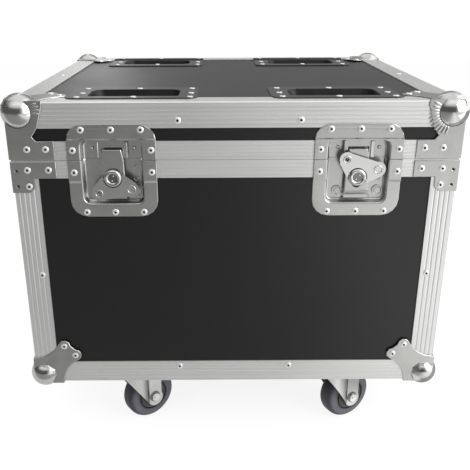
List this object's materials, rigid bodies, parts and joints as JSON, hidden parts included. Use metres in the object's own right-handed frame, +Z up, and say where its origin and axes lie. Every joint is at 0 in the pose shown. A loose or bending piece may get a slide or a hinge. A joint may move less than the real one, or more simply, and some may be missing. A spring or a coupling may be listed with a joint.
{
  "type": "wheeled carrying case",
  "caption": "Aluminium-edged box case with a hinged lid, ball corners, recessed turn latches, side handles, castor dishes in the lid and swivel castors.",
  "frame": {"origin": "floor under the middle of the case, level with the bottom of the wheels", "axes": "+X to the right as seen from the latch side, +Y to the back, where the hinge is, +Z up"},
  "size_m": [0.5394, 0.4848, 0.4833],
  "materials": {
    "black_laminate": "black phenolic film on plywood, satin",
    "aluminium_trim": "extruded, finely ribbed, satin",
    "zinc_steel": "zinc plated sheet, satin",
    "dish_steel": "dark grey coated sheet",
    "knob_chrome": "bright plated",
    "bail_steel": "plated rod with a black grip",
    "wheel_rubber": "dark grey rubber tyre with a grey centre"
  },
  "bodies": {
    "base": {"bottom_panel": "black_laminate", "front_panel": "black_laminate", "back_panel": "black_laminate", "left_panel": "black_laminate", "right_panel": "black_laminate", "bottom_edge_frame": "aluminium_trim", "vertical_edge_front_left": "aluminium_trim", "vertical_edge_front_right": "aluminium_trim", "vertical_edge_rear_left": "aluminium_trim", "vertical_edge_rear_right": "aluminium_trim", "base_closure_rail": "aluminium_trim", "bottom_corner_front_left": "zinc_steel", "bottom_corner_front_right": "zinc_steel", "bottom_corner_rear_left": "zinc_steel", "bottom_corner_rear_right": "zinc_steel", "corner_brace_front_left": "zinc_steel", "corner_brace_front_right": "zinc_steel", "corner_brace_rear_left": "zinc_steel", "corner_brace_rear_right": "zinc_steel", "latch_dish_lower_left": "zinc_steel", "latch_dish_lower_right": "zinc_steel", "handle_dish_left": "zinc_steel", "handle_dish_right": "zinc_steel", "hinge_base_leaf": "zinc_steel", "castor_plate_front_left": "zinc_steel", "castor_plate_front_right": "zinc_steel", "castor_plate_rear_left": "zinc_steel", "castor_plate_rear_right": "zinc_steel"},
    "lid": {"lid_panel": "black_laminate", "lid_side_frame": "black_laminate", "lid_edge_frame": "aluminium_trim", "lid_closure_rail": "aluminium_trim", "lid_corner_front_left": "zinc_steel", "lid_corner_front_right": "zinc_steel", "lid_corner_rear_left": "zinc_steel", "lid_corner_rear_right": "zinc_steel", "latch_dish_upper_left": "zinc_steel", "latch_dish_upper_right": "zinc_steel", "hinge_lid_leaf": "zinc_steel", "castor_dish_front_left": "dish_steel", "castor_dish_front_right": "dish_steel", "castor_dish_rear_left": "dish_steel", "castor_dish_rear_right": "dish_steel"},
    "knob_left": {"latch_knob_left": "knob_chrome"},
    "knob_right": {"latch_knob_right": "knob_chrome"},
    "wing_left": {"latch_wing_left": "zinc_steel"},
    "wing_right": {"latch_wing_right": "zinc_steel"},
    "hook_left": {"latch_hook_left": "zinc_steel"},
    "hook_right": {"latch_hook_right": "zinc_steel"},
    "bail_left": {"handle_bail_left": "bail_steel"},
    "bail_right": {"handle_bail_right": "bail_steel"},
    "fork_front_left": {"castor_fork_front_left": "zinc_steel"},
    "fork_front_right": {"castor_fork_front_right": "zinc_steel"},
    "fork_rear_left": {"castor_fork_rear_left": "zinc_steel"},
    "fork_rear_right": {"castor_fork_rear_right": "zinc_steel"},
    "wheel_front_left": {"castor_wheel_front_left": "wheel_rubber"},
    "wheel_front_right": {"castor_wheel_front_right": "wheel_rubber"},
    "wheel_rear_left": {"castor_wheel_rear_left": "wheel_rubber"},
    "wheel_rear_right": {"castor_wheel_rear_right": "wheel_rubber"}
  },
  "joints": [
    {"name": "lid_hinge", "type": "hinge", "parent": "base", "child": "lid", "pos_m": [0, 0.23675, 0.4073], "axis": [-1, 0, 0], "range_deg": [0, 105]},
    {"name": "latch_turn_left", "type": "hinge", "parent": "base", "child": "knob_left", "pos_m": [-0.1435, -0.23375, 0.386], "axis": [0, 1, 0], "range_deg": [0, 180]},
    {"name": "latch_turn_right", "type": "hinge", "parent": "base", "child": "knob_right", "pos_m": [0.1435, -0.23375, 0.386], "axis": [0, -1, 0], "range_deg": [0, 180]},
    {"name": "latch_draw_left", "type": "slide", "parent": "base", "child": "hook_left", "axis": [0, 0, 1], "range_m": [0, 0.0078]},
    {"name": "latch_draw_right", "type": "slide", "parent": "base", "child": "hook_right", "axis": [0, 0, 1], "range_m": [0, 0.0078]},
    {"name": "wing_fold_left", "type": "hinge", "parent": "knob_left", "child": "wing_left", "pos_m": [-0.1435, -0.23615, 0.386], "axis": [-0.9925, 0, -0.1219], "range_deg": [0, 180]},
    {"name": "wing_fold_right", "type": "hinge", "parent": "knob_right", "child": "wing_right", "pos_m": [0.1435, -0.23615, 0.386], "axis": [0.9511, 0, -0.309], "range_deg": [0, 180]},
    {"name": "handle_swing_left", "type": "hinge", "parent": "base", "child": "bail_left", "pos_m": [-0.2555, 0, 0.293], "axis": [0, 1, 0], "range_deg": [0, 90]},
    {"name": "handle_swing_right", "type": "hinge", "parent": "base", "child": "bail_right", "pos_m": [0.2555, 0, 0.293], "axis": [0, -1, 0], "range_deg": [0, 90]},
    {"name": "castor_swivel_front_left", "type": "hinge", "parent": "base", "child": "fork_front_left", "pos_m": [-0.1435, -0.16975, 0.106], "axis": [0, 0, 1], "continuous": true},
    {"name": "castor_swivel_front_right", "type": "hinge", "parent": "base", "child": "fork_front_right", "pos_m": [0.1435, -0.16975, 0.106], "axis": [0, 0, 1], "continuous": true},
    {"name": "castor_swivel_rear_left", "type": "hinge", "parent": "base", "child": "fork_rear_left", "pos_m": [-0.1435, 0.16975, 0.106], "axis": [0, 0, 1], "continuous": true},
    {"name": "castor_swivel_rear_right", "type": "hinge", "parent": "base", "child": "fork_rear_right", "pos_m": [0.1435, 0.16975, 0.106], "axis": [0, 0, 1], "continuous": true},
    {"name": "wheel_spin_front_left", "type": "hinge", "parent": "fork_front_left", "child": "wheel_front_left", "pos_m": [-0.12443, -0.15517, 0.03704], "axis": [-0.6074, 0.7944, 0], "continuous": true},
    {"name": "wheel_spin_front_right", "type": "hinge", "parent": "fork_front_right", "child": "wheel_front_right", "pos_m": [0.16451, -0.15815, 0.03704], "axis": [-0.4833, 0.8755, 0], "continuous": true},
    {"name": "wheel_spin_rear_left", "type": "hinge", "parent": "fork_rear_left", "child": "wheel_rear_left", "pos_m": [-0.12293, 0.18211, 0.03704], "axis": [-0.515, 0.8572, 0], "continuous": true},
    {"name": "wheel_spin_rear_right", "type": "hinge", "parent": "fork_rear_right", "child": "wheel_rear_right", "pos_m": [0.16189, 0.18518, 0.03704], "axis": [-0.6428, 0.766, 0], "continuous": true}
  ],
  "couplings": [
    {"joint": "latch_turn_left", "follows": "latch_draw_left", "rad_per_m": 402.7},
    {"joint": "latch_turn_right", "follows": "latch_draw_right", "rad_per_m": 402.7}
  ]
}
